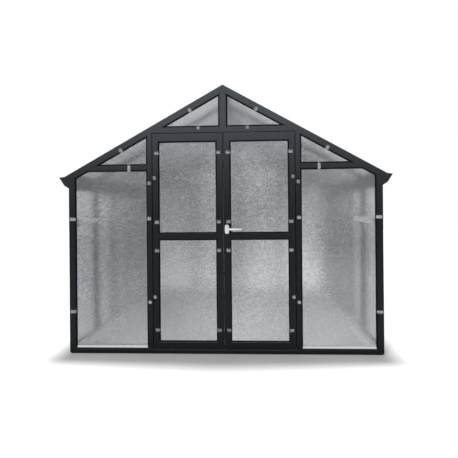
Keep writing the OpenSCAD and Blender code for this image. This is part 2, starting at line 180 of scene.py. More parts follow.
class NodeTree:
    """A node tree that grows one call at a time."""

    def __init__(self, tree: bpy.types.NodeTree) -> None:
        """Takes a tree over.

        Args:
            tree: The tree of a material, a world or Geometry Nodes.
        """
        self.tree = tree

    def node(self, kind: str, settings: dict | None = None, inputs: dict | None = None) -> bpy.types.Node:
        """Adds one node.

        Args:
            kind: The node's type.
            settings: Attributes set first, such as an operation.
            inputs: Socket name or number to a value, a socket or a Signal.

        Returns:
            The node.
        """
        made = self.tree.nodes.new(kind)
        for key, value in (settings or {}).items():
            setattr(made, key, value)
        for key, value in (inputs or {}).items():
            if isinstance(value, Signal):
                value = value.socket
            if isinstance(value, bpy.types.NodeSocket):
                self.tree.links.new(value, made.inputs[key])
            else:
                made.inputs[key].default_value = value
        return made

    def part(self, vector: bpy.types.NodeSocket, axis: str) -> Signal:
        """One part of a vector."""
        split = self.node("ShaderNodeSeparateXYZ", None, {0: vector})
        return Signal(self, split.outputs[axis])


# ---- finishes


@dataclass(frozen=True)
class Waves:
    """Sizes of a soft noise: waves per metre, octaves of finer noise, and its scale on each axis."""

    per_metre: float
    octaves: float = 2.0
    stretch: tuple[float, float, float] = (1.0, 1.0, 1.0)


class Shader(NodeTree):
    """A material in the making."""

    def __init__(self, name: str) -> None:
        """Starts an empty material.

        Args:
            name: The material's name.
        """
        self.material = bpy.data.materials.new(name)
        self.material.use_nodes = True
        super().__init__(self.material.node_tree)
        self.tree.nodes.clear()

    @cached_property
    def place(self) -> bpy.types.NodeSocket:
        """Place in the object's own coordinates."""
        return self.node("ShaderNodeTexCoord").outputs["Object"]

    def noise(self, waves: Waves) -> Signal:
        """Soft noise from 0 to 1.

        Args:
            waves: The noise's sizes.

        Returns:
            The noise.
        """
        mapping = self.node("ShaderNodeMapping", None, {"Vector": self.place, "Scale": waves.stretch})
        made = self.node(
            "ShaderNodeTexNoise",
            None,
            {"Vector": mapping.outputs[0], "Scale": waves.per_metre, "Detail": waves.octaves},
        )
        return Signal(self, made.outputs["Fac"])

    def cells(self, per_metre: float) -> Signal:
        """Rounded cells that run softly into each other, low in their middles.

        Args:
            per_metre: Cells per metre.

        Returns:
            The distance from each cell's middle.
        """
        made = self.node(
            "ShaderNodeTexVoronoi",
            {"feature": "SMOOTH_F1"},
            {"Vector": self.place, "Scale": per_metre, "Smoothness": 1.0},
        )
        return Signal(self, made.outputs["Distance"])

    def along(self, axis: str) -> Signal:
        """Place along an axis, in metres."""
        return self.part(self.place, axis)

    def upward(self) -> Signal:
        """How much the surface faces up, from -1 to 1."""
        return self.part(self.node("ShaderNodeNewGeometry").outputs["Normal"], "Z")

    def blend(
        self, factor: Signal, low: Colour | bpy.types.NodeSocket, high: Colour
    ) -> bpy.types.NodeSocket:
        """Colour between two others.

        Args:
            factor: 0 for the first colour, 1 for the second.
            low: First colour, or its socket.
            high: Second colour.

        Returns:
            The colour's socket.
        """
        factor_socket, first_socket, second_socket, colour_output = 0, 6, 7, 2
        first = low if isinstance(low, bpy.types.NodeSocket) else (*low, 1.0)
        made = self.node(
            "ShaderNodeMix",
            {"data_type": "RGBA", "clamp_factor": True},
            {factor_socket: factor, first_socket: first, second_socket: (*high, 1.0)},
        )
        return made.outputs[colour_output]

    def bump(self, height: Signal, strength: float, distance: float) -> bpy.types.NodeSocket:
        """Normal of a surface raised by a height.

        Args:
            height: The relief, from 0 to 1.
            strength: How much of the relief shows.
            distance: Its depth in metres.

        Returns:
            The normal's socket.
        """
        inputs = {"Height": height, "Strength": strength, "Distance": distance}
        return self.node("ShaderNodeBump", None, inputs).outputs["Normal"]

    def finish(self, inputs: dict) -> bpy.types.Material:
        """Ends the material in a Principled shader.

        Args:
            inputs: Socket name to value, socket or Signal.

        Returns:
            The material.
        """
        surface = self.node("ShaderNodeBsdfPrincipled", None, inputs)
        self.node("ShaderNodeOutputMaterial", None, {"Surface": surface.outputs[0]})
        return self.material


@dataclass(frozen=True)
class CoatFinish:
    """Fine matt powder coat with painted shade low down, paler towards the ridge, and a painted highlight on what
    faces up.
    """

    # low and high: painted shade near the ground and painted light towards the ridge
    low: Colour = (0.0065, 0.0090, 0.0112)
    high: Colour = (0.066, 0.076, 0.086)
    # dust: colour of the painted highlight on faces and edges that face up
    dust: Colour = (0.17, 0.18, 0.19)
    painted_shade_up_to: float = 1.0
    painted_light_rise_share: float = 0.85
    cloud: Waves = Waves(1.7, 3.0)
    cloud_share: float = 0.12
    painted_highlight_gain: float = 1.4
    painted_highlight_from: float = 0.35
    painted_highlight_most: float = 0.8
    sheen: Waves = Waves(9.0)
    roughness: float = 0.4
    roughness_spread: float = 0.14
    specular: float = 0.15
    grain: Waves = Waves(700.0, 1.0)
    grain_strength: float = 0.35
    grain_depth: float = 0.12 * MM

    def material(self) -> bpy.types.Material:
        """Builds the coat.

        Returns:
            Its material.
        """
        shader = Shader("anthracite coat")
        # Painted light and shade: darker low down and paler towards the ridge, as if lit from above.
        rise = (shader.along("Z") - self.painted_shade_up_to).clamped()
        cloud = shader.noise(self.cloud) - NOISE_MIDDLE
        tone = (rise * rise * self.painted_light_rise_share + cloud * self.cloud_share).clamped()
        paint = shader.blend(tone, self.low, self.high)
        # Painted highlight on faces and bevels that face up, as if lit from above.
        painted_top_highlight = (shader.upward() * self.painted_highlight_gain - self.painted_highlight_from).clamped() * self.painted_highlight_most
        return shader.finish(
            {
                "Base Color": shader.blend(painted_top_highlight, paint, self.dust),
                "Roughness": shader.noise(self.sheen) * self.roughness_spread + self.roughness,
                "Normal": shader.bump(shader.noise(self.grain), self.grain_strength, self.grain_depth),
                "Specular IOR Level": self.specular,
            }
        )


@dataclass(frozen=True)
class SheetFinish:
    """Embossed translucent plastic, with a relief of small irregular dimples.

    The tint holds painted shade, darkest at one height, and painted light to the right and at the
    shoulders beside the doors. The dimples get a painted sparkle in patches, more so higher up.
    """

    # tint and haze: darkest and palest sheet colours; the painted light and shade run between them
    tint: Colour = (0.50, 0.515, 0.53)
    haze: Colour = (0.97, 0.975, 0.985)
    tone_from: float = 0.3
    cloud: Waves = Waves(1.3, 2.0, (1.0, 1.0, 0.7))
    cloud_share: float = 0.9
    painted_side_light_share: float = 0.12
    painted_shade_height: float = 1.0
    painted_shade_share: float = 0.8
    shoulder_height: float = 1.35
    shoulder_reach: float = 0.4
    shoulder_from: float = 0.2
    painted_shoulder_light_share: float = 2.4
    patches: Waves = Waves(1.1, 1.0)
    patch_share: float = 0.9
    patch_rise: float = 0.25
    patch_from: float = 0.05
    dimples_per_metre: float = 72.0
    ripple: Waves = Waves(34.0, 2.0, (1.0, 1.0, 1.6))
    dimple_sparkle: float = 1.1
    ripple_sparkle: float = 0.9
    sparkle_middle: float = 0.83
    sparkle_share: float = 1.1
    dimple_relief: float = 0.8
    ripple_relief: float = 0.25
    relief_depth: float = 2.2 * MM
    roughness: float = 0.22
    index: float = 1.45
    transmission: float = 0.93

    def material(self) -> bpy.types.Material:
        """Builds the embossed sheet.

        Returns:
            Its material.
        """
        shader = Shader("embossed sheet")
        dimples = shader.cells(self.dimples_per_metre)
        ripple = shader.noise(self.ripple)
        # Painted sparkle: dimples and ripple painted into the tint as glints, in patches, more so higher up.
        patches = shader.noise(self.patches) * self.patch_share + shader.along("Z") * self.patch_rise
        shown = (patches - self.patch_from).clamped()
        sparkle = dimples * self.dimple_sparkle + ripple * self.ripple_sparkle - self.sparkle_middle
        cloud_and_painted_sparkle = shader.noise(self.cloud) * self.cloud_share + sparkle * shown * self.sparkle_share
        # The tone holds painted light and shade by place and the painted sparkle, on top of random cloud.
        tone = (self._painted_light(shader) + cloud_and_painted_sparkle - self.tone_from).clamped()
        relief = dimples * self.dimple_relief + ripple * self.ripple_relief
        return shader.finish(
            {
                "Base Color": shader.blend(tone, self.tint, self.haze),
                "Roughness": self.roughness,
                "IOR": self.index,
                "Transmission Weight": self.transmission,
                "Normal": shader.bump(relief, 1.0, self.relief_depth),
            }
        )

    def _painted_light(self, shader: Shader) -> Signal:
        """Painted light and shade in a sheet's tint, by its place.

        Args:
            shader: The sheet's shader.

        Returns:
            The share of the tone.
        """
        side = shader.along("X")
        bend = shader.along("Z") - self.painted_shade_height
        rise = shader.along("Z") - self.shoulder_height
        # Painted light at the shoulders, against the shade of posts and eaves seen through the side sheets.
        beside_doors = (side * side - self.shoulder_from).clamped()
        shoulder = (self.shoulder_reach**2 - rise * rise).clamped() * beside_doors
        return bend * bend * self.painted_shade_share + side * self.painted_side_light_share + shoulder * self.painted_shoulder_light_share


@dataclass(frozen=True)
class SealFinish:
    """Black glazing rubber."""

    black: Colour = (0.003, 0.0035, 0.004)
    dusty: Colour = (0.009, 0.010, 0.011)
    dust: Waves = Waves(14.0, 3.0)
    roughness: float = 0.68
    roughness_spread: float = 0.15
    specular: float = 0.12
    grain: Waves = Waves(900.0, 1.0)
    grain_strength: float = 0.2
    grain_depth: float = 0.1 * MM

    def material(self) -> bpy.types.Material:
        """Builds the rubber.

        Returns:
            Its material.
        """
        shader = Shader("glazing rubber")
        dust = shader.noise(self.dust)
        return shader.finish(
            {
                "Base Color": shader.blend(dust, self.black, self.dusty),
                "Roughness": dust * self.roughness_spread + self.roughness,
                "Specular IOR Level": self.specular,
                "Normal": shader.bump(shader.noise(self.grain), self.grain_strength, self.grain_depth),
            }
        )


@dataclass(frozen=True)
class MetalFinish:
    """Bare or lightly treated metal, with fine marks that can run along one axis."""

    name: str
    dark: Colour
    light: Colour
    roughness: float
    metallic: float = 1.0
    mark_stretch: tuple[float, float, float] = (1.0, 1.0, 1.0)
    marks_per_metre: float = 160.0
    mark_strength: float = 0.12
    mark_depth: float = 0.2 * MM
    roughness_spread: float = 0.12
    cloud: Waves = Waves(11.0, 3.0)

    def material(self) -> bpy.types.Material:
        """Builds the metal.

        Returns:
            Its material.
        """
        shader = Shader(self.name)
        marks = shader.noise(Waves(self.marks_per_metre, stretch=self.mark_stretch))
        smoothest = self.roughness - self.roughness_spread / 2
        return shader.finish(
            {
                "Base Color": shader.blend(shader.noise(self.cloud), self.dark, self.light),
                "Metallic": self.metallic,
                "Roughness": marks * self.roughness_spread + smoothest,
                "Normal": shader.bump(marks, self.mark_strength, self.mark_depth),
            }
        )


@dataclass(frozen=True)
class FloorFinish:
    """Plain pale studio floor."""

    colour: Colour = (0.64, 0.64, 0.64)
    roughness: float = 0.9
    specular: float = 0.1

    def material(self) -> bpy.types.Material:
        """Builds the floor's paint.

        Returns:
            Its material.
        """
        return Shader("pale floor").finish(
            {
                "Base Color": (*self.colour, 1.0),
                "Roughness": self.roughness,
                "Specular IOR Level": self.specular,
            }
        )


FINISHES = {
    Slot.COAT: CoatFinish(),
    Slot.SHEET: SheetFinish(),
    Slot.SEAL: SealFinish(),
    Slot.BARE: MetalFinish(
        "mill metal", (0.88, 0.89, 0.9), (0.96, 0.965, 0.97), 0.45, 0.15, (0.2, 0.2, 6.0)
    ),
    Slot.HANDLE: MetalFinish("satin handle metal", (0.68, 0.69, 0.70), (0.80, 0.81, 0.82), 0.34, 0.35),
    Slot.STEEL: MetalFinish("bright spring steel", (0.16, 0.17, 0.18), (0.42, 0.43, 0.44), 0.25),
}


# ---- pieces


def add_piece(
    name: str, mesh: bpy.types.Mesh, body: Body, slot: Slot, paints: Paints
) -> bpy.types.Object:
    """Adds one piece to the object.

    Args:
        name: The piece's name.
        mesh: Its mesh, in place.
        body: The body that it moves with.
        slot: The record's slot that it takes its finish from.
        paints: The material of each slot.

    Returns:
        The piece.
    """
    mesh.materials.clear()
    mesh.materials.append(paints[slot])
    piece = bpy.data.objects.new(name, mesh)
    bpy.context.scene.collection.objects.link(piece)
    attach(piece, body.value)
    log.info("%s: %d faces, with %s", name, len(mesh.polygons), body.value)
    return piece


def plain_mesh(shape: bmesh.types.BMesh, name: str) -> bpy.types.Mesh:
    """Ends a shape as a mesh.

    Args:
        shape: The shape, which is freed.
        name: The mesh's name.

    Returns:
        The mesh.
    """
    mesh = bpy.data.meshes.new(name)
    shape.to_mesh(mesh)
    shape.free()
    return mesh


def merged_copy(node: str) -> bmesh.types.BMesh:
    """A CAD node's mesh with its doubles merged and its flat faces whole.

    Args:
        node: The node's name.

    Returns:
        The copy.
    """
    shape = bmesh.new()
    shape.from_mesh(frame["nodes"][node].data)
    bmesh.ops.remove_doubles(shape, verts=shape.verts, dist=CAD_MERGE)
    bmesh.ops.dissolve_limit(
        shape,
        angle_limit=CAD_FLAT,
        verts=shape.verts,
        edges=shape.edges,
        use_dissolve_boundaries=False,
    )
    shape.normal_update()
    return shape


def mean_width(face: bmesh.types.BMFace) -> float:
    """Rough width of a long face."""
    return 2.0 * face.calc_area() / max(face.calc_perimeter(), NEARLY_ZERO * MM)


@dataclass
class SoftEdges:
    """Copies of CAD nodes with rounded outer edges, which stand for those nodes."""

    radius: float = 3 * MM
    segments: int = 2
    narrowest: float = 10.5 * MM
    shortest: float = 12 * MM
    sharp: float = math.radians(25)
    profile: float = 0.6
    most_corners: int = 4

    def soften(self, node: str, body: Body, slot: Slot, paints: Paints) -> bpy.types.Object:
        """Rounds a node's edges, except those of grooves and small cuts.

        Args:
            node: The CAD node.
            body: The body that it belongs to.
            slot: The record's slot.
            paints: The material of each slot.

        Returns:
            The piece.
        """
        shape = merged_copy(node)
        chosen = [edge for edge in shape.edges if self._is_outer(edge)]
        bmesh.ops.bevel(
            shape,
            geom=chosen,
            offset=self.radius,
            segments=self.segments,
            profile=self.profile,
            affect="EDGES",
            clamp_overlap=False,
        )
        wide = [face for face in shape.faces if len(face.verts) > self.most_corners]
        bmesh.ops.triangulate(shape, faces=wide)
        piece = add_piece(node + "_soft", plain_mesh(shape, node + " soft"), body, slot, paints)
        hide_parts(node)
        return piece

    def _is_outer(self, edge: bmesh.types.BMEdge) -> bool:
        """Whether an edge is a long convex one between broad faces.

        Args:
            edge: The edge.

        Returns:
            True if it is rounded.
        """
        if not edge.is_manifold or not edge.is_convex or edge.calc_length() < self.shortest:
            return False
        if edge.calc_face_angle(0.0) < self.sharp:
            return False
        return all(mean_width(face) > self.narrowest for face in edge.link_faces)


@dataclass(frozen=True)
class Outline:
    """Clear opening in front of one sheet: its corners in order round it, and the way out of it."""

    corners: tuple[Vector, ...]
    normal: Vector
    roof_from: float = 0.1
    gable_from: float = 0.9
    upright_from: float = 0.9
    sloping_from: float = 0.3

    @property
    def is_roof(self) -> bool:
        """Whether the sheet lies on the roof."""
        return self.normal.z > self.roof_from

    @property
    def is_gable(self) -> bool:
        """Whether the sheet faces the front or the back."""
        return abs(self.normal.y) > self.gable_from

    @property
    def is_triangle(self) -> bool:
        """Whether the sheet has three corners."""
        return len(self.corners) == 3

    def edge(self, number: int) -> tuple[Vector, Vector]:
        """Ends of an edge."""
        return self.corners[number], self.corners[(number + 1) % len(self.corners)]

    def length(self, number: int) -> float:
        """Length of an edge."""
        a, b = self.edge(number)
        return (b - a).length

    def lie(self, number: int) -> Lie:
        """How an edge lies.

        Args:
            number: The edge's number.

        Returns:
            Its lie.
        """
        a, b = self.edge(number)
        steepness = abs(b.z - a.z) / self.length(number)
        if steepness > self.upright_from:
            return Lie.UPRIGHT
        return Lie.SLOPING if steepness > self.sloping_from else Lie.LEVEL

    def inward(self, number: int) -> Vector:
        """Direction from an edge into the opening, in its plane."""
        a, b = self.edge(number)
        return self.normal.cross(b - a).normalized()

    def inset(self, distances: Sequence[float]) -> list[Vector]:
        """Corners after each edge has moved inwards by its own distance.

        Args:
            distances: One distance per edge.

        Returns:
            The moved corners.
        """
        moved = []
        count = len(self.corners)
        for i, corner in enumerate(self.corners):
            before, after = (i - 1) % count, i
            n1, n2 = self.inward(before), self.inward(after)
            c = n1.dot(n2)
            scale = 1.0 / max(1.0 - c * c, NEARLY_ZERO)
            d1, d2 = distances[before], distances[after]
            moved.append(corner + n1 * ((d1 - c * d2) * scale) + n2 * ((d2 - c * d1) * scale))
        return moved


def sheet_outlines(node: str, middle: Vector, bite: float) -> list[Outline]:
    """Clear openings in front of a node's sheets, on the side that faces away from a point.

    Args:
        node: The CAD node that holds the sheets.
        middle: A point inside the building.
        bite: How far each sheet reaches into its grooves.

    Returns:
        One outline per sheet, with its corners counter-clockwise seen from outside.
    """
    smallest_sheet = 0.03
    shape = merged_copy(node)
    found = []
    for face in shape.faces:
        outward = face.normal.dot(face.calc_center_median() - middle) > 0
        if face.calc_area() < smallest_sheet or not outward:
            continue
        corners = tuple(loop.vert.co.copy() for loop in face.loops)
        whole = Outline(corners, face.normal.copy())
        found.append(Outline(tuple(whole.inset([bite] * len(corners))), whole.normal))
    shape.free()
    return found


@dataclass
class Seals:
    """Strips that lie on the sheets along the bars."""

    width: float = 13 * MM
    height: float = 3 * MM
    lip: float = 3 * MM

    def mesh(
        self, name: str, outlines: Iterable[Outline], skip: Callable[[Outline, int], bool]
    ) -> bpy.types.Mesh:
        """Builds the strips round some openings.

        Args:
            name: The mesh's name.
            outlines: The openings.
            skip: Says which of an opening's edges has no strip.

        Returns:
            The mesh.
        """
        shape = bmesh.new()
        for outline in outlines:
            self._ring(shape, outline, [skip(outline, i) for i in range(len(outline.corners))])
        bmesh.ops.recalc_face_normals(shape, faces=shape.faces)
        return plain_mesh(shape, name)

    def _ring(self, shape: bmesh.types.BMesh, outline: Outline, skipped: Sequence[bool]) -> None:
        """Adds one opening's strips, with mitred corners and closed ends.

        Args:
            shape: What to add them to.
            outline: The opening.
            skipped: Whether each edge has no strip.
        """
        flat = self.width - self.lip
        section = [(0.0, 0.0), (0.0, self.height), (flat, self.height), (self.width, 0.0)]
        levels = []
        for reach, rise in section:
            corners = outline.inset([0.0 if off else reach for off in skipped])
            levels.append([shape.verts.new(c + outline.normal * rise) for c in corners])
        count = len(outline.corners)
        for i in range(count):
            if skipped[i]:
                continue
            j = (i + 1) % count
            for k in range(len(section)):
                m = (k + 1) % len(section)
                shape.faces.new((levels[k][i], levels[k][j], levels[m][j], levels[m][i]))
            if skipped[i - 1]:
                shape.faces.new([level[i] for level in levels])
            if skipped[j]:
                shape.faces.new([level[j] for level in reversed(levels)])


# ---- repeated fixings


@dataclass(frozen=True)
class Seat:
    """Where one fixing sits: a point on a bar's face, the way towards the sheet, and the way out."""

    place: Vector
    across: Vector
    outward: Vector


class FixingTree(NodeTree):
    """A Geometry Nodes tree that puts one shape on every seat."""

    def __init__(self, name: str, sizes: dict[str, float]) -> None:
        """Starts the tree.

        Args:
            name: The tree's name.
            sizes: Names and default values of its size inputs.
        """
        super().__init__(bpy.data.node_groups.new(name, "GeometryNodeTree"))
        self.tree.is_modifier = True
        face = self.tree.interface
        face.new_socket(name="Geometry", in_out="INPUT", socket_type="NodeSocketGeometry")
        self.identifiers = {}
        for key, value in sizes.items():
            socket = face.new_socket(name=key, in_out="INPUT", socket_type="NodeSocketFloat")
            socket.default_value = value
            self.identifiers[key] = socket.identifier
        face.new_socket(name="Geometry", in_out="OUTPUT", socket_type="NodeSocketGeometry")
        self.source = self.node("NodeGroupInput")

    def size(self, name: str) -> Signal:
        """A size input."""
        return Signal(self, self.source.outputs[name])

    def scatter(self, shape: bpy.types.NodeSocket, paint: bpy.types.Material) -> None:
        """Ends the tree: the shape on every seat, as real geometry, painted.

        Args:
            shape: The shape's socket.
            paint: Its material.
        """
        vector = {"data_type": "FLOAT_VECTOR"}
        across, outward = (
            self.node("GeometryNodeInputNamedAttribute", vector, {"Name": key}).outputs[0]
            for key in SEAT_AXES
        )
        turn = self.node(
            "FunctionNodeAxesToRotation",
            {"primary_axis": "Z", "secondary_axis": "X"},
            {"Primary Axis": outward, "Secondary Axis": across},
        )
        spread = self.node(
            "GeometryNodeInstanceOnPoints",
            None,
            {"Points": self.source.outputs["Geometry"], "Instance": shape, "Rotation": turn.outputs[0]},
        )
        real = self.node("GeometryNodeRealizeInstances", None, {0: spread.outputs[0]})
        painted = self.node(
            "GeometryNodeSetMaterial", None, {"Geometry": real.outputs[0], "Material": paint}
        )
        self.node("NodeGroupOutput", None, {0: painted.outputs[0]})

    def result(
        self, name: str, seats: Sequence[Seat], sizes: dict[str, float] | None = None
    ) -> bpy.types.Mesh:
        """Runs the tree on some seats.

        Args:
            name: The mesh's name.
            seats: Where the fixings sit.
            sizes: Values of size inputs that differ from their defaults.

        Returns:
            The plain mesh.
        """
        points = bpy.data.meshes.new(name + " seats")
        points.from_pydata([seat.place for seat in seats], [], [])
        for key in SEAT_AXES:
            layer = points.attributes.new(key, "FLOAT_VECTOR", "POINT")
            layer.data.foreach_set("vector", [x for seat in seats for x in getattr(seat, key)])
        holder = bpy.data.objects.new(name + " holder", points)
        bpy.context.scene.collection.objects.link(holder)
        modifier = holder.modifiers.new("fixings", "NODES")
        modifier.node_group = self.tree
        for key, value in (sizes or {}).items():
            modifier[self.identifiers[key]] = value
        graph = bpy.context.evaluated_depsgraph_get()
        mesh = bpy.data.meshes.new_from_object(holder.evaluated_get(graph))
        holder.modifiers.clear()
        bpy.data.objects.remove(holder)
        shape = bmesh.new()
        shape.from_mesh(mesh)
        close_up(shape)
        shape.to_mesh(mesh)
        shape.free()
        return mesh


def close_up(shape: bmesh.types.BMesh) -> None:
    """Merges a closed shape's doubles and turns its faces outwards."""
    bmesh.ops.remove_doubles(shape, verts=shape.verts, dist=MESH_MERGE)
    bmesh.ops.recalc_face_normals(shape, faces=shape.faces)


@dataclass(frozen=True)
class ClipSize:
    """Sizes of one kind of clip: its part over the bar, the ends that reach the seals, its width."""

    span: float
    tongue: float
    tail: float
    width: float
    ripple: float = 2.6 * MM

    def inputs(self) -> dict[str, float]:
        """The tree's size inputs."""
        return {name.capitalize(): size for name, size in vars(self).items()}


class ClipKind(Enum):
    """Kinds of clip."""

    STILE = ClipSize(29 * MM, 8 * MM, 0.0, 34 * MM)
    CORNER = ClipSize(44 * MM, 8 * MM, 0.0, 32 * MM)
    BEAM = ClipSize(38 * MM, 12 * MM, 12 * MM, 30 * MM)
    SLOPE = ClipSize(22 * MM, 11 * MM, 0.0, 36 * MM)


@dataclass
class SpringClip:
    """Rippled strip of spring steel that lies over a bar and presses a sheet's edge."""

    thickness: float = 1.2 * MM
    drop: float = 9 * MM
    steps: int = 34
    waves: float = 2.5

    def tree(self, paint: bpy.types.Material) -> FixingTree:
        """Builds the clip's tree.

        Args:
            paint: The clips' material.

        Returns:
            The tree.
        """
        made = FixingTree("spring clip", ClipKind.STILE.value.inputs())
        step = (1.0 / (self.steps - 1), 0.0, 0.0)
        line = made.node("GeometryNodeMeshLine", {"mode": "OFFSET"}, {"Count": self.steps, "Offset": step})
        place = made.node("GeometryNodeInputPosition").outputs[0]
        x, z = self._profile(made, made.part(place, "X"))
        spot = made.node("ShaderNodeCombineXYZ", None, {"X": x, "Z": z})
        bent = made.node(
            "GeometryNodeSetPosition", None, {"Geometry": line.outputs[0], "Position": spot.outputs[0]}
        )
        path = made.node("GeometryNodeMeshToCurve", None, {0: bent.outputs[0]})
        strip = made.node(
            "GeometryNodeCurvePrimitiveQuadrilateral",
            {"mode": "RECTANGLE"},
            {"Width": made.size("Width"), "Height": self.thickness},
        )
        solid = made.node(
            "GeometryNodeCurveToMesh",
            None,
            {"Curve": path.outputs[0], "Profile Curve": strip.outputs[0], "Fill Caps": True},
        )
        made.scatter(solid.outputs[0], paint)
        return made

    def _profile(self, made: FixingTree, share: Signal) -> tuple[Signal, Signal]:
        """The strip's line, seen along the bar.

        Args:
            made: The clip's tree.
            share: Share of the strip's length, from 0 to 1.

        Returns:
            The distance past the bar's edge, and the height over the bar's face.
        """
        span = made.size("Span")
        back = span + made.size("Tail")
        x = share * (back + made.size("Tongue")) - back
        behind = x * -1.0 - span
        fall = self._fall(made, x, "Tongue") + self._fall(made, behind, "Tail")
        turns = x / span * (self.waves * math.tau)
        wave = (1.0 - turns.cosine()) * 0.5
        over_bar = x.below(0.0) * behind.below(0.0)
        return x, wave * made.size("Ripple") * over_bar - fall + self.thickness

    def _fall(self, made: FixingTree, past: Signal, end: str) -> Signal:
        """How far the strip falls towards a seal.

        Args:
            made: The clip's tree.
            past: Distance past the bar's edge.
            end: The size input that holds that end's length.

        Returns:
            The fall.
        """
        reach = made.size(end) + NEARLY_ZERO
        smooth = made.node(
            "ShaderNodeMapRange",
            {"interpolation_type": "SMOOTHSTEP"},
            {"Value": past, "From Min": 0.0, "From Max": reach, "To Min": 0.0, "To Max": self.drop},
        )
        return Signal(made, smooth.outputs[0])


@dataclass
class HexBolt:
    """Cup washer with a nut and the end of its bolt."""

    washer: float = 17 * MM
    washer_sides: int = 28
    rim: float = 4.2 * MM
    rim_sides: int = 10
    floor_sides: int = 24
    nut: float = 7.5 * MM
    nut_height: float = 4.5 * MM
    nut_sides: int = 6
    stud: float = 3.6 * MM
    stud_height: float = 7 * MM
    stud_sides: int = 14

    def tree(self, paint: bpy.types.Material) -> FixingTree:
        """Builds the bolt's tree.

        Args:
            paint: The bolts' material.

        Returns:
            The tree.
        """
        made = FixingTree("hinge bolt", {"Washer": self.washer, "Nut": self.nut})
        join = made.node("GeometryNodeJoinGeometry")
        middle = made.size("Washer") - self.rim
        ring, bead = (
            made.node("GeometryNodeCurvePrimitiveCircle", None, {"Resolution": sides, "Radius": radius})
            for sides, radius in ((self.washer_sides, middle), (self.rim_sides, self.rim))
        )
        cup = made.node(
            "GeometryNodeCurveToMesh",
            None,
            {"Curve": ring.outputs[0], "Profile Curve": bead.outputs[0]},
        )
        made.tree.links.new(cup.outputs[0], join.inputs[0])
        for radius, height, sides in (
            (self.stud, self.stud_height, self.stud_sides),
            (made.size("Nut"), self.nut_height, self.nut_sides),
            (middle, self.rim / 2, self.floor_sides),
        ):
            disc = made.node(
                "GeometryNodeMeshCylinder", None, {"Vertices": sides, "Radius": radius, "Depth": height}
            )
            lifted = made.node(
                "GeometryNodeTransform",
                None,
                {0: disc.outputs[0], "Translation": (0.0, 0.0, height / 2)},
            )
            made.tree.links.new(lifted.outputs[0], join.inputs[0])
        made.scatter(join.outputs[0], paint)
        return made


# ---- assemblies


@dataclass
class Frame:
    """Coated bars, hinges and gutters with soft edges, and the bare metal inside."""

    paints: Paints
    edges: SoftEdges = field(default_factory=SoftEdges)

    def build(self) -> None:
        """Replaces each coated or bare node by a copy with soft edges."""
        slots = {row["node"]: Slot(row["material_slot"]) for row in frame["record"]["subparts"]}
        for body, nodes in frame["record"]["behaviour"]["bodies"].items():
            for node in nodes:
                if slots[node] in (Slot.COAT, Slot.BARE):
                    self.edges.soften(node, Body(body), slots[node], self.paints)


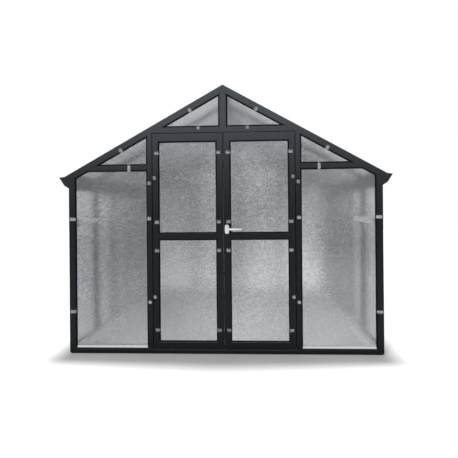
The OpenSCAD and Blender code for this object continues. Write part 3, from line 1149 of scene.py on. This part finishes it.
@dataclass
class Glazing:
    """The sheets, the seals round them and the clips that hold them."""

    paints: Paints
    bite: float = 8 * MM
    setback: float = 14 * MM
    seals: Seals = field(default_factory=Seals)
    foot_bead: Seals = field(default_factory=lambda: Seals(width=19 * MM, height=2 * MM, lip=2 * MM))
    foot_below: float = 60 * MM
    level_within: float = 0.1 * MM
    clip: SpringClip = field(default_factory=SpringClip)
    shortest_upright: float = 0.6
    shortest_slope: float = 0.3
    corner_beyond: float = 1.2
    tie_beyond: float = 0.9
    door_within: float = 0.8
    header_within: float = 0.3
    end_inset: float = 0.1
    tall: float = 1.2
    tall_heights: tuple[float, float] = (0.31, 1.11)
    roof_shares: tuple[float, ...] = (0.15, 0.5, 0.85)
    tie_clip_from_post: float = 0.16
    header_clip_from_middle: float = 0.21

    def build(self) -> None:
        """Dresses the sheets and adds their seals and clips."""
        low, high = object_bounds()
        middle = (low + high) / 2
        tree = self.clip.tree(self.paints[Slot.STEEL])
        groups = {
            Body.ROOT: [n for n in frame["nodes"] if n.endswith("sheets") and "door" not in n],
            Body.LEFT_DOOR: ["left_door_sheets"],
            Body.RIGHT_DOOR: ["right_door_sheets"],
        }
        for body, nodes in groups.items():
            for node in nodes:
                self._dress(node)
            openings = [o for node in sorted(nodes) for o in sheet_outlines(node, middle, self.bite)]
            strips = self.seals.mesh(body.value + " seals", openings, self._is_free)
            add_piece(body.value + "_seals", strips, body, Slot.SEAL, self.paints)
            if body is Body.ROOT:
                walls = [outline for outline in openings if not outline.is_roof]
                beads = self.foot_bead.mesh("foot beads", walls, lambda o, i: not self._is_free(o, i))
                add_piece("foot_beads", beads, body, Slot.BARE, self.paints)
            for kind in ClipKind:
                seats = [seat for outline in openings for seat in self._seats(outline, kind)]
                if seats:
                    name = f"{body.value}_{kind.name.lower()}_clips"
                    clips = tree.result(name, seats, kind.value.inputs())
                    add_piece(name, clips, body, Slot.STEEL, self.paints)

    def _dress(self, node: str) -> None:
        """Gives a sheet node its embossed finish."""
        for slot in frame["nodes"][node].material_slots:
            slot.material = self.paints[Slot.SHEET]

    def _is_free(self, outline: Outline, number: int) -> bool:
        """Whether an edge has no seal: the foot of a wall sheet, and a roof sheet's lower edge.

        Args:
            outline: The opening.
            number: The edge's number.

        Returns:
            True if it has none.
        """
        a, b = outline.edge(number)
        lowest = min(corner.z for corner in outline.corners)
        at_foot = max(abs(a.z - b.z), abs(a.z - lowest)) < self.level_within
        return at_foot and (outline.is_roof or lowest < self.foot_below)

    def _seats(self, outline: Outline, kind: ClipKind) -> list[Seat]:
        """Seats of one kind of clip round one opening.

        Args:
            outline: The opening.
            kind: The kind of clip.

        Returns:
            The seats.
        """
        seats = []
        for i in range(len(outline.corners)):
            if self._kind(outline, i) is not kind:
                continue
            a, b = outline.edge(i)
            for distance in self._distances(outline, i):
                place = a + (b - a).normalized() * distance + outline.normal * self.setback
                seats.append(Seat(place, outline.inward(i), outline.normal))
        return seats

    def _kind(self, outline: Outline, number: int) -> ClipKind | None:
        """Kind of clip along an edge.

        Args:
            outline: The opening.
            number: The edge's number.

        Returns:
            The kind, or None where there is no clip.
        """
        a, b = outline.edge(number)
        lie = outline.lie(number)
        if self._is_free(outline, number):
            return None
        if lie is Lie.UPRIGHT:
            if outline.is_triangle or outline.length(number) < self.shortest_upright:
                return None
            at_corner = outline.is_gable and abs(a.x) > self.corner_beyond
            return ClipKind.CORNER if at_corner else ClipKind.STILE
        if lie is Lie.SLOPING:
            return ClipKind.SLOPE if outline.length(number) > self.shortest_slope else None
        if outline.is_gable and outline.is_triangle:
            return ClipKind.BEAM if max(abs(a.x), abs(b.x)) > self.tie_beyond else ClipKind.SLOPE
        return None

    def _distances(self, outline: Outline, number: int) -> list[float]:
        """How far along an edge its clips sit.

        Args:
            outline: The opening.
            number: The edge's number.

        Returns:
            Distances from the edge's first corner.
        """
        a, b = outline.edge(number)
        length = outline.length(number)
        lie = outline.lie(number)
        if lie is Lie.UPRIGHT:
            ends = [self.end_inset, length - self.end_inset]
            if length > self.tall:
                ends = list(self.tall_heights)
                beside_door = outline.is_gable and abs(a.x) < self.door_within
                ends = ends[1:] if beside_door else ends
            return ends if b.z > a.z else [length - end for end in ends]
        if lie is Lie.SLOPING:
            shares = self.roof_shares if outline.is_roof else (0.5,)
            return [length * share for share in shares]
        near = min(abs(a.x), abs(b.x))
        at_header = near < self.header_within
        wanted = self.header_clip_from_middle if at_header else near + self.tie_clip_from_post
        return [abs(abs(a.x) - wanted)]


@dataclass
class DoorSeals:
    """Rubber that closes the gaps round the two leaves."""

    paints: Paints
    meeting_gap: float = 0.25 * MM
    bead_setback: float = 2 * MM
    bead_depth: float = 7 * MM
    arc_steps: int = 8
    arc_share: float = 0.9
    hinge_gap: float = 5 * MM
    stop_width: float = 13 * MM
    stop_depth: float = 6 * MM
    stop_clearance: float = 1 * MM
    nose_share: float = 0.6
    heel_share: float = 0.2

    def build(self) -> None:
        """Adds a bead to each leaf's free edge, and stops behind the leaves."""
        leaves = {Body.LEFT_DOOR: "left_door_stiles", Body.RIGHT_DOOR: "right_door_stiles"}
        post_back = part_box("door_posts")[1].y
        stops = bmesh.new()
        for body, node in leaves.items():
            low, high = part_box(node)
            side = math.copysign(1.0, low.x + high.x)
            free, hung = sorted((abs(low.x), abs(high.x)))
            heights = (low.z, high.z)
            bead = bmesh.new()
            self._prism(bead, side, self._bead(free, low.y + self.bead_setback), heights)
            self._add(body.value + "_meeting_seal", bead, body)
            near = high.y + self.stop_clearance
            depths = (near, min(near + self.stop_depth, post_back))
            self._prism(stops, side, self._stop(hung + self.hinge_gap, depths), heights)
        self._add("door_stops", stops, Body.ROOT)

    def _add(self, name: str, shape: bmesh.types.BMesh, body: Body) -> None:
        """Adds a shape as a closed piece of rubber."""
        close_up(shape)
        add_piece(name, plain_mesh(shape, "door seal"), body, Slot.SEAL, self.paints)

    def _bead(self, root: float, front: float) -> list[tuple[float, float]]:
        """Section of a lip with a rounded tip.

        Args:
            root: Distance of the lip's root from the middle of the doors.
            front: Its front.

        Returns:
            Distances from the middle, with their depths.
        """
        reach = root - self.meeting_gap
        half = self.bead_depth / 2
        points = [(root, front), (root, front + self.bead_depth)]
        for step in range(self.arc_steps + 1):
            angle = math.pi * step / self.arc_steps
            x = self.meeting_gap + reach * (1 - math.sin(angle)) * self.arc_share
            points.append((x, front + half + half * math.cos(angle)))
        return points

    def _stop(self, outer: float, depths: tuple[float, float]) -> list[tuple[float, float]]:
        """Section of a stop with a slanted nose.

        Args:
            outer: Distance of its outer side from the middle of the doors.
            depths: Its front and its back.

        Returns:
            Distances from the middle, with their depths.
        """
        near, far = depths
        inner = outer - self.stop_width
        nose = inner + (far - near) * self.nose_share
        heel = near + (far - near) * self.heel_share
        return [(outer, near), (outer, far), (nose, far), (inner, heel), (inner, near)]

    @staticmethod
    def _prism(
        shape: bmesh.types.BMesh,
        side: float,
        section: Sequence[tuple[float, float]],
        heights: tuple[float, float],
    ) -> None:
        """Adds an upright prism.

        Args:
            shape: What to add it to.
            side: 1 to the right of the middle of the doors, -1 to its left.
            section: Distances from the middle, with their depths.
            heights: Its foot and its head.
        """
        low, high = ([shape.verts.new((side * x, y, z)) for x, y in section] for z in heights)
        count = len(section)
        for i in range(count):
            j = (i + 1) % count
            shape.faces.new((low[i], low[j], high[j], high[i]))
        shape.faces.new(low)
        shape.faces.new(high)


@dataclass
class Hinges:
    """Nuts on the hinge plates."""

    paints: Paints
    bolt: HexBolt = field(default_factory=HexBolt)
    leaf_offset: float = 18 * MM
    post_offset: float = 24 * MM
    plate: float = 3 * MM
    half_height: float = 44 * MM

    def build(self) -> None:
        """Adds a nut to each half of each hinge."""
        tree = self.bolt.tree(self.paints[Slot.STEEL])
        halves = {
            Body.LEFT_DOOR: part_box("left_door_hinges"),
            Body.RIGHT_DOOR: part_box("right_door_hinges"),
        }
        face = halves[Body.LEFT_DOOR][1].y - self.plate
        pins = {joint["child"]: joint["pos_m"][0] for joint in frame["joints"]}
        rise = self.half_height / 2
        post_seats: list[Seat] = []
        for body, (foot, head) in halves.items():
            pin = pins[body.value]
            side = math.copysign(1.0, pin)
            lows = (foot.z, head.z - self.half_height)
            leaf_seats = [self._seat(pin - side * self.leaf_offset, face, z + rise, side) for z in lows]
            post_seats += [self._seat(pin + side * self.post_offset, face, z - rise, side) for z in lows]
            mesh = tree.result(body.value + " hinge nuts", leaf_seats)
            add_piece(body.value + "_hinge_nuts", mesh, body, Slot.STEEL, self.paints)
        mesh = tree.result("post hinge nuts", post_seats)
        add_piece("post_hinge_nuts", mesh, Body.ROOT, Slot.STEEL, self.paints)

    @staticmethod
    def _seat(x: float, y: float, z: float, side: float) -> Seat:
        """A seat on the front of the doors."""
        return Seat(Vector((x, y, z)), Vector((side, 0.0, 0.0)), Vector((0.0, -1.0, 0.0)))


@dataclass
class Handle:
    """Lever and backplates with rounded edges."""

    paints: Paints
    edges: SoftEdges = field(
        default_factory=lambda: SoftEdges(
            segments=3, narrowest=1 * MM, shortest=0.5 * MM, sharp=math.radians(50)
        )
    )

    def build(self) -> None:
        """Replaces the lever and its plates by softer copies."""
        self.edges.soften("door_lever", Body.LEVER, Slot.HANDLE, self.paints)
        self.edges.soften("handle_plates", Body.RIGHT_DOOR, Slot.HANDLE, self.paints)


@dataclass
class Studio:
    """Floor, light and camera. None of it is part of the object."""

    floor_size: float = 60.0
    floor_drop: float = 0.5 * MM
    lens: float = 38.4
    sensor: float = 36.0
    sight: float = 200.0
    across: float = 0.2618
    distance: float = 4.15
    eye_height: float = 1.1917
    turn: float = math.radians(2.962)
    roll: float = math.radians(-0.496)
    rise: float = -15 / 458
    surround: float = 0.55
    softness: float = math.radians(9)
    key: float = 3.9
    key_tilt: tuple[float, float, float] = (math.radians(-10), 0.0, 0.0)
    fill: float = 0.8
    fill_tilt: tuple[float, float, float] = (math.radians(52), 0.0, math.radians(-28))

    def build(self) -> None:
        """Builds the studio."""
        self._floor()
        self._surround()
        self._sun("key", self.key, self.key_tilt)
        self._sun("fill", self.fill, self.fill_tilt)
        bpy.context.scene.view_settings.view_transform = "Standard"
        self._camera()

    def _floor(self) -> None:
        """Adds the floor, just under the part."""
        half, z = self.floor_size / 2, -self.floor_drop
        mesh = bpy.data.meshes.new("floor")
        corners = [(-half, -half, z), (half, -half, z), (half, half, z), (-half, half, z)]
        mesh.from_pydata(corners, [], [(0, 1, 2, 3)])
        mesh.materials.append(FloorFinish().material())
        floor = bpy.data.objects.new("floor", mesh)
        bpy.context.scene.collection.objects.link(floor)
        floor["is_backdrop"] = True

    def _surround(self) -> None:
        """Adds a white surround, dimmer as a light than as a backdrop."""
        world = bpy.data.worlds.new("studio")
        world.use_nodes = True
        tree = NodeTree(world.node_tree)
        ray = tree.node("ShaderNodeLightPath").outputs["Is Camera Ray"]
        strength = tree.node(
            "ShaderNodeMapRange", None, {"Value": ray, "To Min": self.surround, "To Max": 1.0}
        )
        background = world.node_tree.nodes["Background"]
        background.inputs["Color"].default_value = (1.0, 1.0, 1.0, 1.0)
        world.node_tree.links.new(strength.outputs[0], background.inputs["Strength"])
        bpy.context.scene.world = world

    def _sun(self, name: str, energy: float, tilt: tuple[float, float, float]) -> None:
        """Adds a soft light from far away.

        Args:
            name: The light's name.
            energy: Its strength.
            tilt: Its turn about each axis, from straight down.
        """
        sun = bpy.data.lights.new(name, "SUN")
        sun.energy = energy
        sun.angle = self.softness
        lamp = bpy.data.objects.new(name, sun)
        lamp.rotation_euler = tilt
        bpy.context.scene.collection.objects.link(lamp)

    def _camera(self) -> None:
        """Adds the camera, in front of the doors and a little to their right."""
        low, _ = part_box("corner_posts")
        lens = bpy.data.cameras.new("camera")
        lens.lens = self.lens
        lens.sensor_width = self.sensor
        lens.shift_y = self.rise
        lens.clip_end = self.sight
        eye = bpy.data.objects.new("camera", lens)
        level = Matrix.Rotation(self.turn, 4, "Z") @ Matrix.Rotation(math.pi / 2, 4, "X")
        place = Matrix.Translation((self.across, low.y - self.distance, self.eye_height))
        eye.matrix_world = place @ level @ Matrix.Rotation(self.roll, 4, "Z")
        bpy.context.scene.collection.objects.link(eye)
        bpy.context.scene.camera = eye


def main() -> None:
    """Builds the greenhouse's looks, piece by piece."""
    paints = {slot: finish.material() for slot, finish in FINISHES.items()}
    Studio().build()
    for assembly in (Frame, Glazing, DoorSeals, Hinges, Handle):
        assembly(paints).build()


if __name__ == "__main__":
    main()
